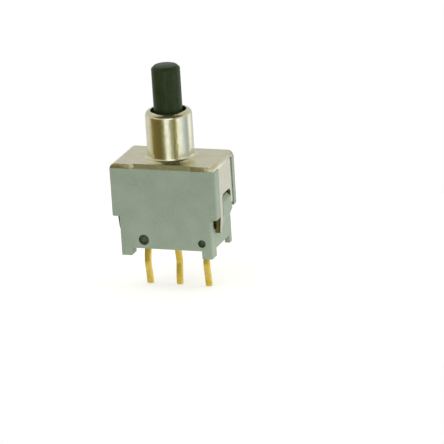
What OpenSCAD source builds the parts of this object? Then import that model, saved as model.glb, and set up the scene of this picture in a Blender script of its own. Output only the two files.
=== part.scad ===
// Ultra-miniature pushbutton switch for a circuit board.
// Momentary, single pole, change-over, sealed round the plunger.
// Millimetres, +Z up. Z = 0 is the board, under the feet of the case.
// X runs along the row of terminals, -Y is the front face.
// The plunger and the bushing stand on the Z axis.

/* [Case] */
// Width over the wide upper walls
case_w = 9.05; // [8.8:0.05:9.8]
// Gap between a leg of the frame and the side of the narrow body
side_gap = 0.13; // [0.08:0.01:0.15]
// Depth from front face to back face
case_d = 4.9; // [4.7:0.1:5.6]
// Gap between the board and the underside of the case
standoff = 0.65; // [0.4:0.05:1.2]
// Height of the case from its underside to its rim
case_h = 6.75; // [6.7:0.05:8.5]
// Height of the wide walls' lower ends above the underside
shoulder_h = 2.65; // [2.4:0.05:3.0]
// Depth of the front wide wall
front_wall_d = 1.0; // [0.8:0.05:1.05]
// Depth of the back wide wall
back_wall_d = 0.65; // [0.5:0.05:0.7]
// Thickness of the floor under the contact chamber
floor_t = 1.25; // [1.2:0.05:1.5]
// Thickness of the front and back walls round the chamber
chamber_wall = 0.85; // [0.8:0.05:0.9]
// Radius of the outer edges
edge_r = 0.15; // [0.08:0.01:0.2]

/* [Feet] */
// Length of a front foot along the front face
foot_l = 0.9; // [0.6:0.05:1.1]
// Depth of a front foot
foot_d = 1.1; // [0.6:0.05:1.2]
// Length of a back foot
back_foot_l = 0.45; // [0.4:0.05:0.9]
// Depth of a back foot
back_foot_d = 0.6; // [0.5:0.05:1.0]

/* [Side catches] */
// Depth of the boss that fills the frame's window
boss_d = 1.93; // [1.6:0.01:2.0]
// Height of the boss
boss_h = 2.5; // [2.2:0.05:2.6]
// Height of the boss's foot above the underside
boss_z = 1.45; // [1.4:0.05:1.5]
// How far the boss stands out past the frame's leg
boss_proud = 0.03; // [0:0.01:0.1]
// Height of the slope at the boss's lower end
boss_ramp = 1.1; // [0.5:0.1:1.3]
// How far the shelf under the back prong runs on behind the boss
shelf_d = 0.25; // [0.1:0.05:0.5]
// Depth of the pocket that the front prong hooks into
pocket_d = 1.05; // [0.9:0.05:1.1]
// Height of the pocket
pocket_h = 1.0; // [0.9:0.05:1.1]
// How deep the pocket goes into the side
pocket_in = 0.5; // [0.45:0.05:0.5]

/* [Front marks] */
// Diameter of the left blind hole in the front face
mark_left_dia = 0.85; // [0.6:0.05:1.0]
// Diameter of the right blind hole in the front face
mark_right_dia = 0.62; // [0.4:0.02:0.8]
// Distance of the left hole from the left side of the body
mark_left_in = 2.0; // [1.2:0.1:3.2]
// Distance of the right hole from the right side of the body
mark_right_in = 0.86; // [0.6:0.02:1.2]
// Height of the left hole above the underside
mark_left_up = 0.74; // [0.6:0.02:1.4]
// Height of the right hole above the underside
mark_right_up = 0.64; // [0.5:0.02:1.4]
// Depth of both holes
mark_depth = 0.25; // [0.1:0.05:0.4]

/* [Frame] */
// Thickness of the sheet metal
sheet_t = 0.4; // [0.3:0.05:0.45]
// How far the wide walls stand out past the frame's legs
leg_inset = 0.08; // [0.03:0.01:0.12]
// Outer radius of the bends between the plate and the legs
bend_r = 0.45; // [0.45:0.05:0.8]
// Gap between a leg and the walls beside it
leg_gap = 0.05; // [0.03:0.01:0.08]
// Height of the window's top above the underside
window_z = 4.35; // [4.2:0.05:4.6]
// Radius of the window's upper corners
window_r = 0.4; // [0.2:0.05:0.5]
// Depth of the front prong beside the window
prong_d = 0.62; // [0.5:0.02:0.7]
// Height of the front prong's end above the underside
prong_z = 1.3; // [1.2:0.05:1.5]
// Height of the back prong's end above the underside
back_prong_z = 3.05; // [3.0:0.05:3.6]
// Height of the barb that is struck inwards from the front prong
barb_h = 0.75; // [0.6:0.05:0.8]
// How far the barb reaches into the pocket
barb_in = 0.38; // [0.3:0.02:0.44]
// Gap between the barb and the pocket's ceiling
barb_drop = 0.12; // [0.06:0.02:0.14]
// Half length of the plate's set-back middle edge
notch_l = 2.5; // [2.0:0.1:3.0]
// How far the middle of the front edge is set back
notch_d = 0.12; // [0.05:0.01:0.2]

/* [Bushing] */
// Outer diameter of the drawn bushing
bush_dia = 3.82; // [3.6:0.02:3.84]
// Height of the bushing above the plate
bush_h = 4.0; // [3.5:0.1:6.0]
// Wall of the bushing
bush_wall = 0.44; // [0.38:0.02:0.46]
// Radius of the fillet where the bushing leaves the plate
root_r = 0.4; // [0.2:0.05:0.4]

/* [Plunger] */
// Diameter of the plunger's visible rod
plunger_dia = 2.34; // [2.0:0.02:2.4]
// How much the rod's root widens down to its guide
rod_flare = 0.06; // [0.02:0.01:0.08]
// Height of that root above the bushing's mouth
rod_root_up = 0.06; // [0.02:0.02:0.2]
// Height of the plunger's tip above the plate
plunger_h = 7.7; // [6.7:0.1:11]
// Chamfer round the tip
tip_chamfer = 0.22; // [0.1:0.02:0.4]
// Full travel of the plunger
travel = 1.4; // [1.2:0.05:1.45]
// Running gap round the plunger in the bushing
guide_gap = 0.035; // [0.02:0.005:0.06]
// Depth of the plunger's guide below the bushing's mouth
mouth_depth = 0.9; // [0.7:0.05:1.2]
// Thickness of the plunger's foot plate
foot_plate_t = 0.45; // [0.35:0.05:0.5]
// Distance of the foot plate's ends from the chamber's ends
foot_plate_in = 0.7; // [0.3:0.05:0.9]
// Gap between the foot plate and the chamber's front and back
foot_plate_gap = 0.2; // [0.1:0.05:0.3]
// Diameter of the plunger's lower pin
tail_dia = 0.8; // [0.6:0.02:0.84]
// Length of the plunger's lower pin
tail_l = 1.5; // [1.1:0.05:1.6]

/* [Seals] */
// Thickness of the O-ring's cord
oring_t = 0.36; // [0.3:0.02:0.4]
// Thickness of the flat gasket under the plate
gasket_t = 0.35; // [0.3:0.05:0.4]
// Width of the ledge that carries the gasket
ledge_w = 0.35; // [0.2:0.05:0.4]
// Gap between the gasket's hole and the plunger
gasket_gap = 0.125; // [0.08:0.005:0.2]
// Thickness of the resin seal in the underside
resin_t = 0.3; // [0.2:0.05:0.35]
// Depth of the resin seal from front to back
resin_d = 1.6; // [1.2:0.1:2.0]
// How far the resin seal runs past the outer pins
resin_past = 0.085; // [0.05:0.005:0.2]

/* [Slider] */
// Height of the slider
slider_h = 1.7; // [1.6:0.05:1.8]
// Thickness of the slider's web above the spring
web_t = 0.5; // [0.4:0.05:0.6]
// Running gap between the slider and the chamber
slider_gap = 0.05; // [0.03:0.01:0.08]
// Height of the contact line above the slider's underside
contact_rise = 0.72; // [0.6:0.02:0.76]
// Height of the slider's ribs above the contact line
rib_rise = 0.25; // [0.2:0.01:0.3]
// Gap between the plunger's foot plate and its stop at rest
stop_gap = 0.02; // [0.01:0.01:0.05]

/* [Return spring] */
// Mean diameter of the coil
spring_dia = 1.2; // [1.12:0.02:1.26]
// Diameter of the wire
wire_dia = 0.18; // [0.12:0.01:0.2]
// Number of turns
spring_turns = 8; // [6:1:10]
// Height of the post inside the spring's lower end
post_h = 0.8; // [0.5:0.05:0.9]

/* [Terminals] */
// Distance between neighbouring terminals
pitch = 2.54; // [2.5:0.01:2.56]
// Width of a terminal pin
pin_w = 0.55; // [0.4:0.05:0.6]
// Thickness of the terminal strip
pin_t = 0.25; // [0.2:0.01:0.27]
// Length of a pin below the board's face
pin_l = 3.2; // [2.5:0.1:4.5]
// Distance of the pin row behind the plunger's axis
pin_y = 0.1; // [0:0.05:0.2]
// Sideways bend of a pin that holds it in its board hole
kink = 0.28; // [0.1:0.02:0.35]
// Height of the contact blades above the chamber's floor
blade_h = 4.8; // [4.6:0.05:4.9]
// Distance that the arms slide before they change over
change_over = 0.55; // [0.4:0.05:0.6]

/* [Moving contact] */
// Thickness of the contact spring
contact_t = 0.12; // [0.08:0.01:0.15]
// Width of one contact arm
arm_w = 0.5; // [0.4:0.05:0.55]
// Depth left behind the slider for the arms
arm_space = 0.6; // [0.5:0.05:0.65]
// Length of one contact arm
arm_l = 0.75; // [0.6:0.05:0.8]
// Gap left between an arm and the blade it wipes
wipe_gap = 0.03; // [0.02:0.01:0.05]
// Height of the strip that joins the arms
strip_h = 0.5; // [0.4:0.05:0.55]
// Gap between the strip and the slider's ribs
strip_gap = 0.05; // [0.03:0.01:0.08]
// Diameter of the pegs that hold the strip
peg_dia = 0.3; // [0.2:0.02:0.34]
// How far the pegs stand out past the strip
peg_proud = 0.08; // [0.04:0.01:0.12]
// Gap round a peg in the strip
peg_gap = 0.02; // [0.01:0.005:0.03]

/* [Hidden] */
$fn = 72;
eps = 0.01;
past = case_d / 4; // how far a cut runs out past the face it opens

front_y = -case_d / 2;
back_y = case_d / 2;
under_z = standoff;
floor_z = under_z + floor_t;
rim_z = under_z + case_h;
plate_z = rim_z + sheet_t;
mouth_z = plate_z + bush_h;
shoulder_z = under_z + shoulder_h;

// Frame legs, measured from the walls that they stand between
leg_x = case_w / 2 - leg_inset;
leg_front = front_y + front_wall_d + leg_gap;
leg_back = back_y - back_wall_d - leg_gap;
window_front = leg_front + prong_d;
window_back = window_front + boss_d + 2 * leg_gap;
window_top = under_z + window_z;
prong_end = under_z + prong_z;
back_prong_end = under_z + back_prong_z;
leg_in_x = leg_x - sheet_t;
prong_lean = side_gap - 0.02; // how far the front prong's end is pressed in
body_w = 2 * (leg_in_x - side_gap);

// Chamber, wide enough for the outer contact arms
chamber_l = 2 * pitch + arm_w + 0.3;
chamber_y = case_d / 2 - chamber_wall;
ledge_z = rim_z - gasket_t;
gasket_l = chamber_l + 2 * ledge_w;
gasket_d = 2 * (chamber_y + ledge_w);

// Plunger and what rides with it
bore_dia = bush_dia - 2 * bush_wall;
guide_dia = bore_dia - 2 * guide_gap;
guide_top = mouth_z - mouth_depth;
tip_z = plate_z + plunger_h;
foot_top = ledge_z - stop_gap;
foot_z = foot_top - foot_plate_t;
foot_plate_l = chamber_l - 2 * foot_plate_in;
foot_plate_d = 2 * (chamber_y - foot_plate_gap);
slider_z = foot_z - slider_h;
slider_l = chamber_l - 2 * slider_gap;
slider_front = -chamber_y + slider_gap;
slider_back = chamber_y - arm_space;
tail_hole = tail_dia + 0.06;
pocket_ceiling = foot_z - web_t;
spring_pocket = spring_dia + wire_dia + 0.12;
groove_h = oring_t + 0.06;
groove_z = guide_top - 0.5 - groove_h;
oring_dia = bore_dia - 0.04;
groove_dia = oring_dia - 2 * oring_t - 0.04;
oring_mid = groove_z + groove_h / 2;

// Contact blades stand flush in the chamber's back wall
blade_front = chamber_y;
blade_back = blade_front + pin_t;
blade_top = floor_z + blade_h;
run_z = under_z + resin_t + 0.12;
contact_mid = slider_z + contact_rise;
change_up = contact_mid - change_over;
change_down = contact_mid - travel + change_over;
rib_top = contact_mid + rib_rise;
strip_z = rib_top + strip_gap;

case_color = "#8f9c8a";
steel_color = "#cfcdb8";
gold_color = "#c8af3c";
plunger_color = "#2d372a";

// ---- Shapes shared by several pieces ----

// Rectangle centred on the axes with round corners
module round_rect(l, d, r) {
    square([l - 2 * r, d], center = true);
    square([l, d - 2 * r], center = true);
    for (sx = [-1, 1], sy = [-1, 1])
        translate([sx * (l / 2 - r), sy * (d / 2 - r)]) circle(r);
}

// Upright block between two depths, with its outline drawn in X and Z
module front_extrude(y0, y1) {
    translate([0, y1, 0]) rotate([90, 0, 0]) linear_extrude(y1 - y0) children();
}

// Block across a width, with its outline drawn in Y and Z
module side_extrude(w) {
    rotate([90, 0, 90]) linear_extrude(w, center = true) children();
}

module both_sides() {
    children();
    mirror([1, 0, 0]) children();
}

// ---- Case ----

// Plan of the case above the shoulders: wide walls at front and back, and
// the body between them, set in where a leg lies
module upper_plan() {
    difference() {
        round_rect(case_w, case_d, edge_r);
        for (sx = [0, 1]) mirror([sx, 0]) translate([body_w / 2, front_y + front_wall_d])
            square([case_w, case_d - front_wall_d - back_wall_d]);
    }
}

// Wedges that take the sharp edge off the wide walls' lower ends
module shoulder_edges() {
    cut = edge_r * 0.8;
    both_sides() front_extrude(front_y - past, back_y + past)
        polygon([[case_w / 2 - cut, shoulder_z - eps], [case_w / 2 + past, shoulder_z - eps],
                 [case_w / 2 + past, shoulder_z + cut + past + eps]]);
}

// What is cut away under the case to leave four feet
module under_cuts() {
    front_half = body_w / 2 - foot_l;
    back_half = body_w / 2 - back_foot_l;
    translate([-front_half, front_y - past, -past])
        cube([2 * front_half, case_d / 2 + past, past + standoff]);
    translate([-back_half, 0, -past]) cube([2 * back_half, case_d / 2 + past, past + standoff]);
    translate([-body_w, front_y + foot_d, -past])
        cube([2 * body_w, case_d - foot_d - back_foot_d, past + standoff]);
}

// Boss between the prongs, with a shelf below the short back prong
module boss() {
    out_x = leg_x + boss_proud;
    in_x = body_w / 2 - 0.1;
    low_z = under_z + boss_z;
    foot = [[in_x, low_z], [body_w / 2 + 0.05, low_z], [out_x, low_z + boss_ramp]];
    shelf_z = back_prong_end - leg_gap;
    front = window_front + leg_gap;
    back = front + boss_d;
    front_extrude(front, back)
        polygon(concat(foot, [[out_x, low_z + boss_h - 0.3], [out_x - 0.3, low_z + boss_h], [in_x, low_z + boss_h]]));
    front_extrude(back - 0.1, back + shelf_d)
        polygon(concat(foot, [[out_x, shelf_z], [in_x, shelf_z]]));
}

module prong_pocket() {
    translate([body_w / 2 - pocket_in, leg_front - 0.4, shoulder_z - pocket_h])
        cube([pocket_in + past, pocket_d, pocket_h]);
}

module front_mark(x, z, dia) {
    translate([x, front_y + mark_depth, z]) rotate([90, 0, 0]) cylinder(d = dia, h = mark_depth + past);
}

module chamber() {
    translate([-chamber_l / 2, -chamber_y, floor_z]) cube([chamber_l, 2 * chamber_y, case_h]);
    translate([-gasket_l / 2, -gasket_d / 2, ledge_z]) cube([gasket_l, gasket_d, gasket_t + past]);
}

module resin_block(extra = 0) {
    l = 2 * pitch + pin_w + 2 * resin_past;
    translate([-l / 2, -resin_d / 2, under_z - extra]) cube([l, resin_d, resin_t + extra]);
}

module case() {
    color(case_color) {
        difference() {
            union() {
                linear_extrude(shoulder_z) round_rect(body_w, case_d, edge_r);
                translate([0, 0, shoulder_z]) linear_extrude(rim_z - shoulder_z) upper_plan();
                both_sides() boss();
            }
            under_cuts();
            shoulder_edges();
            both_sides() prong_pocket();
            chamber();
            resin_block(extra = past);
            front_mark(mark_left_in - body_w / 2, under_z + mark_left_up, mark_left_dia);
            front_mark(body_w / 2 - mark_right_in, under_z + mark_right_up, mark_right_dia);
            terminal_strip(1);
            terminal_strip(2);
            terminal_strip(3);
        }
        translate([0, 0, floor_z - eps]) cylinder(d = tail_dia, h = post_h + eps);
    }
}

// ---- Frame: plate, drawn bushing and two forked legs, one pressing ----

// Plate and both legs seen from the front
module frame_outline() {
    flat = leg_x - bend_r;
    translate([-flat, rim_z]) square([2 * flat, sheet_t]);
    for (sx = [0, 1]) mirror([sx, 0]) {
        translate([flat, plate_z - bend_r]) intersection() {
            difference() {
                circle(bend_r);
                circle(bend_r - sheet_t);
            }
            square(bend_r);
        }
        polygon([[leg_in_x, plate_z - bend_r], [leg_x, plate_z - bend_r], [leg_x, shoulder_z],
                 [leg_x - prong_lean, prong_end], [leg_in_x - prong_lean, prong_end], [leg_in_x, shoulder_z]]);
    }
}

// The same seen from the front, cut off at the plate's underside
module plate_outline() {
    intersection() {
        frame_outline();
        translate([-leg_x, rim_z]) square([2 * leg_x, sheet_t]);
    }
}

module frame_window() {
    low = under_z - past;
    translate([window_front, low]) square([window_back - window_front, window_top - window_r - low]);
    translate([window_front + window_r, low])
        square([window_back - window_front - 2 * window_r, window_top - low]);
    for (y = [window_front + window_r, window_back - window_r])
        translate([y, window_top - window_r]) circle(window_r);
    translate([window_back - eps, low]) square([leg_back, back_prong_end - low]);
}

// Barb struck inwards from the front prong's back half into the case's pocket
module barb() {
    top = shoulder_z - barb_drop;
    front_extrude(window_front - prong_d / 2, window_front)
        polygon([[leg_in_x + eps, top], [leg_in_x + eps, top - barb_h], [leg_in_x - 0.8 * barb_in, top - barb_h],
                 [leg_in_x - barb_in, top - 0.8 * barb_h]]);
}

module bushing_outline() {
    r = bush_dia / 2;
    lip_r = bush_wall - 0.02;
    translate([0, rim_z]) square([r, mouth_z - lip_r - rim_z]);
    translate([0, rim_z]) square([r - lip_r, mouth_z - rim_z]);
    translate([r - lip_r, mouth_z - lip_r]) circle(lip_r);
    difference() {
        translate([0, plate_z - sheet_t / 2]) square([r + root_r, root_r + sheet_t / 2]);
        translate([r + root_r, plate_z + root_r]) circle(root_r);
    }
}

module bushing_bore() {
    flare_r = sheet_t * 0.8;
    translate([0, rim_z - past]) square([bore_dia / 2, mouth_z]);
    difference() {
        translate([0, rim_z - past]) square([bore_dia / 2 + flare_r, past + flare_r]);
        translate([bore_dia / 2 + flare_r, rim_z + flare_r]) circle(flare_r);
    }
}

module frame() {
    color(steel_color) difference() {
        union() {
            front_extrude(leg_front, leg_back) frame_outline();
            front_extrude(front_y, back_y) plate_outline();
            rotate_extrude() bushing_outline();
            both_sides() barb();
        }
        rotate_extrude() bushing_bore();
        side_extrude(case_w + 2 * past) frame_window();
        translate([-notch_l, front_y - past, rim_z - past])
            cube([2 * notch_l, past + notch_d, sheet_t + 2 * past]);
    }
}

// ---- Seals ----

module case_gasket() {
    color("#3a3a36") difference() {
        translate([0, 0, ledge_z]) linear_extrude(gasket_t) square([gasket_l, gasket_d], center = true);
        translate([0, 0, ledge_z - past]) cylinder(d = guide_dia + 2 * gasket_gap, h = gasket_t + 2 * past);
    }
}

module terminal_seal() {
    color("#3f3b30") difference() {
        resin_block();
        terminal_strip(1);
        terminal_strip(2);
        terminal_strip(3);
    }
}

module o_ring() {
    color("#23221f") translate([0, 0, oring_mid]) rotate_extrude()
        translate([(oring_dia - oring_t) / 2, 0]) circle(d = oring_t);
}

// ---- Terminals: stamped strips, moulded into the floor and the back wall ----

// Middle line of a kinked pin as depth offset and height, from the floor down.
// The outer pins bend forwards, the middle one backwards.
function pin_line(way) = [[0, run_z], [0, 0.1], [0.35 * kink * way, -0.25], [kink * way, -1.15],
                          [kink * way, -1.45], [0.25 * kink * way, -2.5], [0.15 * kink * way, 0.2 - pin_l],
                          [0.15 * kink * way, -pin_l]];

function blade_end(i) = i == 3 ? change_down : blade_top;
function pin_way(i) = i == 2 ? 1 : -1;

module pin_outline(way) {
    line = pin_line(way);
    last = len(line) - 1;
    half = pin_t / 2;
    taper = [for (i = [0:last]) i == last ? 0.5 * half : half];
    polygon(concat([for (i = [0:last]) [pin_y + line[i][0] - taper[i], line[i][1]]],
                   [for (i = [last:-1:0]) [pin_y + line[i][0] + taper[i], line[i][1]]]));
}

// Run inside the floor and the blade behind the chamber
module blade_outline(i) {
    translate([pin_y - pin_t / 2, run_z]) square([blade_back - pin_y + pin_t / 2, pin_t]);
    if (i == 1) {
        translate([blade_back, run_z]) square([pin_t, change_up - run_z + pin_t]);
        translate([blade_back - pin_t, run_z]) square([2 * pin_t, pin_t]);
        translate([blade_front, change_up]) square([2 * pin_t, pin_t]);
        translate([blade_front, change_up]) square([pin_t, blade_top - change_up]);
    } else {
        translate([blade_front, run_z]) square([pin_t, blade_end(i) - run_z]);
    }
}

module terminal_strip(i) {
    translate([(i - 2) * pitch, 0, 0]) {
        side_extrude(pin_w) pin_outline(pin_way(i));
        side_extrude(pin_w) blade_outline(i);
    }
}

module terminal_1() { color(gold_color) terminal_strip(1); }
module terminal_common() { color(gold_color) terminal_strip(2); }
module terminal_3() { color(gold_color) terminal_strip(3); }

// ---- Plunger and what rides with it ----

module plunger_outline() {
    r = plunger_dia / 2;
    guide_r = guide_dia / 2;
    polygon([[0, foot_z], [guide_r, foot_z], [guide_r, groove_z], [groove_dia / 2, groove_z],
             [groove_dia / 2, groove_z + groove_h], [guide_r, groove_z + groove_h],
             [guide_r, guide_top - 0.1], [guide_r - 0.1, guide_top], [r + rod_flare, guide_top],
             [r, mouth_z + rod_root_up], [r, tip_z - tip_chamfer], [r - tip_chamfer, tip_z], [0, tip_z]]);
}

module plunger() {
    color(plunger_color) {
        rotate_extrude() plunger_outline();
        translate([0, 0, foot_z]) linear_extrude(foot_plate_t) round_rect(foot_plate_l, foot_plate_d, 0.3);
        translate([0, 0, foot_z - tail_l]) cylinder(d = tail_dia, h = tail_l + eps);
    }
}

// Carrier of the moving contact, pushed up against the plunger by the spring
module slider() {
    mid_y = (slider_front + slider_back) / 2;
    color("#c9c3ae") {
        difference() {
            union() {
                translate([0, mid_y, slider_z]) linear_extrude(slider_h)
                    round_rect(slider_l, slider_back - slider_front, 0.2);
                for (sx = [-1, 1]) translate([sx * pitch / 2 - 0.3, slider_back - 0.3, slider_z])
                    cube([0.6, chamber_y - slider_gap - slider_back + 0.3, rib_top - slider_z]);
            }
            translate([0, 0, slider_z - past]) cylinder(d = spring_pocket, h = pocket_ceiling - slider_z + past);
            translate([0, 0, slider_z]) cylinder(d = tail_hole, h = slider_h + 1);
        }
        for (sx = [-1, 1]) translate([sx * pitch / 2, slider_back - 0.1, strip_z + strip_h / 2])
            rotate([-90, 0, 0]) cylinder(d = peg_dia, h = 0.1 + contact_t + peg_proud);
    }
}

// One arm seen from the side: down from the strip, out to the blade, curled back
module arm_outline() {
    reach = chamber_y - wipe_gap;
    tip_z = strip_z - arm_l;
    mid_z = strip_z - arm_l * 0.75;
    y0 = slider_back;
    t = contact_t;
    polygon([[y0, strip_z + eps], [y0, strip_z - 0.1], [reach - t, mid_z], [reach - t - 0.14, tip_z],
             [reach - 0.14, tip_z - 0.03], [reach, mid_z], [y0 + t, strip_z - 0.1], [y0 + t, strip_z + eps]]);
}

module moving_contact() {
    color("#c29a4a") difference() {
        union() {
            translate([-pitch - arm_w / 2, slider_back, strip_z]) cube([2 * pitch + arm_w, contact_t, strip_h]);
            for (x = [-pitch, 0, pitch]) translate([x, 0, 0]) side_extrude(arm_w) arm_outline();
        }
        for (sx = [-1, 1]) translate([sx * pitch / 2, slider_back - past, strip_z + strip_h / 2])
            rotate([-90, 0, 0]) cylinder(d = peg_dia + 2 * peg_gap, h = 2 * past);
    }
}

// ---- Return spring: one wire swept along a helix ----

module return_spring() {
    sides = 8;
    steps = 12;
    rings = spring_turns * steps;
    low = floor_z + wire_dia / 2 + 0.01;
    high = pocket_ceiling - wire_dia / 2 - 0.01;
    r = spring_dia / 2;
    w = wire_dia / 2;
    points = [for (i = [0:rings], j = [0:sides - 1])
        let (a = i * 360 / steps, b = j * 360 / sides, s = i / rings,
             rise = low + (high - low) * (s - 0.035 * sin(360 * s)))
        [(r + w * cos(b)) * cos(a), (r + w * cos(b)) * sin(a), rise + w * sin(b)]];
    walls = [for (i = [0:rings - 1], j = [0:sides - 1])
        [i * sides + j, (i + 1) * sides + j, (i + 1) * sides + (j + 1) % sides, i * sides + (j + 1) % sides]];
    start = [[for (j = [0:sides - 1]) j]];
    end = [[for (j = [sides - 1:-1:0]) rings * sides + j]];
    color("#b9bbb6") polyhedron(points, concat(walls, start, end), convexity = 10);
}

case();
frame();
case_gasket();
terminal_seal();
terminal_1();
terminal_common();
terminal_3();
plunger();
o_ring();
slider();
moving_contact();
return_spring();
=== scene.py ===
import math

import bmesh
import bpy
from mathutils import Matrix, Vector


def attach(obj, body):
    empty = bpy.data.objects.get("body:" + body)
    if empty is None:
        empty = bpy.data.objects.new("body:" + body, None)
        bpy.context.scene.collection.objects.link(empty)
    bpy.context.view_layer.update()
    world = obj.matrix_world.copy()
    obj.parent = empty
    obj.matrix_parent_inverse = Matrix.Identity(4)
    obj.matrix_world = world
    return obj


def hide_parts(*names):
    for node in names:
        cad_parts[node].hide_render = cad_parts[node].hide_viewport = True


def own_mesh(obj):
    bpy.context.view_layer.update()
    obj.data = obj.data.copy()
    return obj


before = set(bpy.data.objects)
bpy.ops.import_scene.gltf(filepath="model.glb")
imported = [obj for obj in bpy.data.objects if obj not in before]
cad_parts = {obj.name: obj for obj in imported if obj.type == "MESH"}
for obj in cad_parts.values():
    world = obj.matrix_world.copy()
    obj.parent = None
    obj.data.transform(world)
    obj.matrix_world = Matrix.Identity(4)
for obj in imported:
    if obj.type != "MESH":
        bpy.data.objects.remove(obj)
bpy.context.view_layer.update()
scene = bpy.context.scene
scene.view_settings.view_transform = "Standard"
print("frame loaded")

# Pieces are drawn in millimetres and brought to metres when they are finished
mm = 0.001


# Camera: far off with a long lens, from the right and a little above

cameraSizes = {
    "distance": 333.0,
    "turn": 20.1,        # degrees round from the front
    "lift": 18.07,       # degrees above the floor
    "roll": 3.56,        # the object leans a little to the left
    "lens": 333.1,
    "sensor": 36.0,
    "nearest": 10.0,     # nothing closer is drawn
    "aimHeight": 6.0,
    "aimRight": 4.0,
    "aimDown": 3.596,
}


# The way to a thing that stands turn degrees round from the front and lift degrees up.
def wayTo(turn, lift):
    turn, lift = math.radians(turn), math.radians(lift)
    return Vector((math.sin(turn) * math.cos(lift), -math.cos(turn) * math.cos(lift), math.sin(lift)))


def placeCamera(s):
    toCamera, roll = wayTo(s["turn"], s["lift"]), math.radians(s["roll"])
    flatRight = Vector((0, 0, 1)).cross(toCamera).normalized()
    flatUp = toCamera.cross(flatRight)
    right = math.cos(roll) * flatRight - math.sin(roll) * flatUp
    up = toCamera.cross(right)
    aim = Vector((0, 0, s["aimHeight"])) + s["aimRight"] * right - s["aimDown"] * up
    data = bpy.data.cameras.new("camera")
    data.lens = s["lens"]
    data.sensor_width = s["sensor"]
    data.clip_start = s["nearest"] * mm
    camera = bpy.data.objects.new("camera", data)
    scene.collection.objects.link(camera)
    turned = Matrix((right, up, toCamera)).transposed().to_4x4()
    camera.matrix_world = Matrix.Translation((aim + s["distance"] * toCamera) * mm) @ turned
    scene.camera = camera


placeCamera(cameraSizes)
print("camera placed")


# Shared helpers

# sRGB hex to linear colour.
def hexToLinear(code):
    parts = [int(code[i:i + 2], 16) / 255 for i in (1, 3, 5)]
    return tuple(p / 12.92 if p <= 0.04045 else ((p + 0.055) / 1.055) ** 2.4 for p in parts) + (1.0,)


# Sets a node's inputs. Each is a value, a hex colour or another node's socket.
def setInputs(tree, node, inputs):
    for key, value in inputs.items():
        if isinstance(value, bpy.types.NodeSocket):
            tree.links.new(value, node.inputs[key])
        else:
            node.inputs[key].default_value = hexToLinear(value) if isinstance(value, str) else value


# One node with its settings and inputs, which can be given by number. Map Range takes the value, the ends it
# comes from and the ends it goes to as 0 to 4. A colour Mix takes the share as 0 and its colours as 6 and 7.
def addNode(tree, kind, inputs=None, **settings):
    node = tree.nodes.new(kind)
    for name, value in settings.items():
        setattr(node, name, value)
    setInputs(tree, node, inputs or {})
    return node


# A node material with its shader and output, and Object coordinates in metres.
def newMaterial(name):
    material = bpy.data.materials.new(name)
    material.use_nodes = True
    tree = material.node_tree
    tree.nodes.clear()
    shader = addNode(tree, "ShaderNodeBsdfPrincipled")
    addNode(tree, "ShaderNodeOutputMaterial", {"Surface": shader.outputs["BSDF"]})
    place = addNode(tree, "ShaderNodeTexCoord").outputs["Object"]
    return material, tree, shader, place


# A noise pattern whose cells are about size millimetres, stretched along each axis by a factor.
def grain(tree, place, size, detail=2.0, stretch=(1, 1, 1), rough=0.5):
    scale = tuple(1 / (size * mm * factor) for factor in stretch)
    mapped = addNode(tree, "ShaderNodeMapping", {"Vector": place, "Scale": scale}).outputs["Vector"]
    noise = addNode(tree, "ShaderNodeTexNoise", {
        "Vector": mapped, "Scale": 1.0, "Detail": detail, "Roughness": rough})
    return noise.outputs["Fac"]


# Materials

def mouldedCasePlastic():
    # Glass-filled PBT, moulded: a dry grey-green with a faint mottle of fibre near the skin
    material, tree, shader, place = newMaterial("mouldedPbt")
    cloud = grain(tree, place, 1.4, detail=3.0)
    fibre = grain(tree, place, 0.16, detail=3.0, rough=0.65)
    share = addNode(tree, "ShaderNodeMapRange", {0: cloud, 1: 0.35, 2: 0.65}).outputs[0]
    base = addNode(tree, "ShaderNodeMix", {0: share, 6: "#8a9b87", 7: "#95a591"}, data_type="RGBA").outputs[2]
    share = addNode(tree, "ShaderNodeMapRange", {0: fibre, 1: 0.30, 2: 0.72, 4: 0.55}).outputs[0]
    base = addNode(tree, "ShaderNodeMix", {0: share, 6: base, 7: "#a3ae9c"}, data_type="RGBA").outputs[2]
    dull = addNode(tree, "ShaderNodeMapRange", {0: fibre, 1: 0.3, 2: 0.7, 3: 0.42, 4: 0.56}).outputs[0]
    bump = addNode(tree, "ShaderNodeBump", {"Height": fibre, "Distance": 0.006 * mm}).outputs[0]
    setInputs(tree, shader, {"Base Color": base, "Roughness": dull, "IOR": 1.55, "Normal": bump})
    return material


# Where the frame's finish and its painted shade change, each from its first value to its second
frameFinishAndShade = {
    "cutEdges": (2.28, 2.32),       # to the front and back of the plate
    "legHeight": (7.2, 7.1),
    "legOutwards": (3.3, 3.4),
    "squareOn": (0.8, 0.9),         # how squarely a face looks to the front or back, 1 at most
}


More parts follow.
